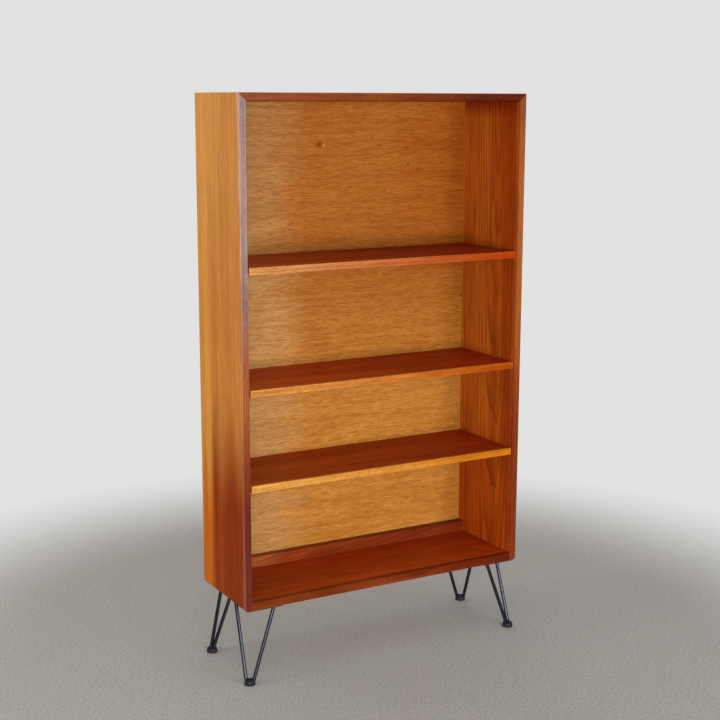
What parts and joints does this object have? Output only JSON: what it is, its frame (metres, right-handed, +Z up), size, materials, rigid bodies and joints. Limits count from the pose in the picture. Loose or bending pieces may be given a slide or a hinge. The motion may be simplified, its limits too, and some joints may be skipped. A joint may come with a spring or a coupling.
{
  "type": "bookcase with adjustable shelves",
  "caption": "Tall open bookcase in oiled teak on black steel hairpin legs, with shelves that lift off pins and refit at other heights.",
  "frame": {"origin": "on the floor, under the middle of the case", "axes": "+Z up, +X to the right of someone facing the open front, the open front faces -Y and the back panel is towards +Y"},
  "size_m": [0.8536, 0.2768, 1.52],
  "materials": {
    "case_teak": "oiled teak veneer, satin",
    "shelf_teak": "oiled teak veneer, satin",
    "dark_teak_lipping": "oiled solid teak, satin",
    "light_teak_lipping": "oiled solid teak, satin",
    "plywood": "lacquered mahogany-faced plywood",
    "beech": "plain beech",
    "black_painted_steel": "satin black powder coat",
    "black_plastic": "semi-gloss black",
    "zinc_plated_steel": "bright zinc plate"
  },
  "bodies": {
    "case": {"left_side_panel": "case_teak", "right_side_panel": "case_teak", "top_panel": "case_teak", "bottom_panel": "case_teak", "left_front_lipping": "dark_teak_lipping", "right_front_lipping": "dark_teak_lipping", "top_front_lipping": "dark_teak_lipping", "bottom_front_lipping": "dark_teak_lipping", "back_panel": "plywood", "back_rail": "dark_teak_lipping", "top_left_spline": "beech", "top_right_spline": "beech", "bottom_left_dowels": "beech", "bottom_right_dowels": "beech", "back_panel_nails": "zinc_plated_steel", "back_rail_screws": "zinc_plated_steel", "front_left_leg_rod": "black_painted_steel", "front_right_leg_rod": "black_painted_steel", "back_left_leg_rod": "black_painted_steel", "back_right_leg_rod": "black_painted_steel", "front_left_leg_plate": "black_painted_steel", "front_right_leg_plate": "black_painted_steel", "back_left_leg_plate": "black_painted_steel", "back_right_leg_plate": "black_painted_steel", "front_left_leg_screws": "zinc_plated_steel", "front_right_leg_screws": "zinc_plated_steel", "back_left_leg_screws": "zinc_plated_steel", "back_right_leg_screws": "zinc_plated_steel", "front_left_foot": "black_plastic", "front_right_foot": "black_plastic", "back_left_foot": "black_plastic", "back_right_foot": "black_plastic"},
    "upper_shelf": {"upper_shelf_board": "shelf_teak", "upper_shelf_lipping": "light_teak_lipping"},
    "middle_shelf": {"middle_shelf_board": "shelf_teak", "middle_shelf_lipping": "light_teak_lipping"},
    "lower_shelf": {"lower_shelf_board": "shelf_teak", "lower_shelf_lipping": "light_teak_lipping"},
    "upper_front_left_pin": {"upper_front_left_pin": "zinc_plated_steel"},
    "upper_front_right_pin": {"upper_front_right_pin": "zinc_plated_steel"},
    "upper_back_left_pin": {"upper_back_left_pin": "zinc_plated_steel"},
    "upper_back_right_pin": {"upper_back_right_pin": "zinc_plated_steel"},
    "middle_front_left_pin": {"middle_front_left_pin": "zinc_plated_steel"},
    "middle_front_right_pin": {"middle_front_right_pin": "zinc_plated_steel"},
    "middle_back_left_pin": {"middle_back_left_pin": "zinc_plated_steel"},
    "middle_back_right_pin": {"middle_back_right_pin": "zinc_plated_steel"},
    "lower_front_left_pin": {"lower_front_left_pin": "zinc_plated_steel"},
    "lower_front_right_pin": {"lower_front_right_pin": "zinc_plated_steel"},
    "lower_back_left_pin": {"lower_back_left_pin": "zinc_plated_steel"},
    "lower_back_right_pin": {"lower_back_right_pin": "zinc_plated_steel"}
  },
  "joints": [
    {"name": "upper_shelf_lift", "type": "slide", "parent": "case", "child": "upper_shelf", "axis": [0, 0, 1], "range_m": [0, 0.4]},
    {"name": "middle_shelf_lift", "type": "slide", "parent": "case", "child": "middle_shelf", "axis": [0, 0, 1], "range_m": [0, 0.288]},
    {"name": "lower_shelf_lift", "type": "slide", "parent": "case", "child": "lower_shelf", "axis": [0, 0, 1], "range_m": [0, 0.226]},
    {"name": "upper_front_left_pin_pull", "type": "slide", "parent": "case", "child": "upper_front_left_pin", "axis": [1, 0, 0], "range_m": [0, 0.011]},
    {"name": "upper_front_right_pin_pull", "type": "slide", "parent": "case", "child": "upper_front_right_pin", "axis": [-1, 0, 0], "range_m": [0, 0.011]},
    {"name": "upper_back_left_pin_pull", "type": "slide", "parent": "case", "child": "upper_back_left_pin", "axis": [1, 0, 0], "range_m": [0, 0.011]},
    {"name": "upper_back_right_pin_pull", "type": "slide", "parent": "case", "child": "upper_back_right_pin", "axis": [-1, 0, 0], "range_m": [0, 0.011]},
    {"name": "middle_front_left_pin_pull", "type": "slide", "parent": "case", "child": "middle_front_left_pin", "axis": [1, 0, 0], "range_m": [0, 0.011]},
    {"name": "middle_front_right_pin_pull", "type": "slide", "parent": "case", "child": "middle_front_right_pin", "axis": [-1, 0, 0], "range_m": [0, 0.011]},
    {"name": "middle_back_left_pin_pull", "type": "slide", "parent": "case", "child": "middle_back_left_pin", "axis": [1, 0, 0], "range_m": [0, 0.011]},
    {"name": "middle_back_right_pin_pull", "type": "slide", "parent": "case", "child": "middle_back_right_pin", "axis": [-1, 0, 0], "range_m": [0, 0.011]},
    {"name": "lower_front_left_pin_pull", "type": "slide", "parent": "case", "child": "lower_front_left_pin", "axis": [1, 0, 0], "range_m": [0, 0.011]},
    {"name": "lower_front_right_pin_pull", "type": "slide", "parent": "case", "child": "lower_front_right_pin", "axis": [-1, 0, 0], "range_m": [0, 0.011]},
    {"name": "lower_back_left_pin_pull", "type": "slide", "parent": "case", "child": "lower_back_left_pin", "axis": [1, 0, 0], "range_m": [0, 0.011]},
    {"name": "lower_back_right_pin_pull", "type": "slide", "parent": "case", "child": "lower_back_right_pin", "axis": [-1, 0, 0], "range_m": [0, 0.011]}
  ]
}
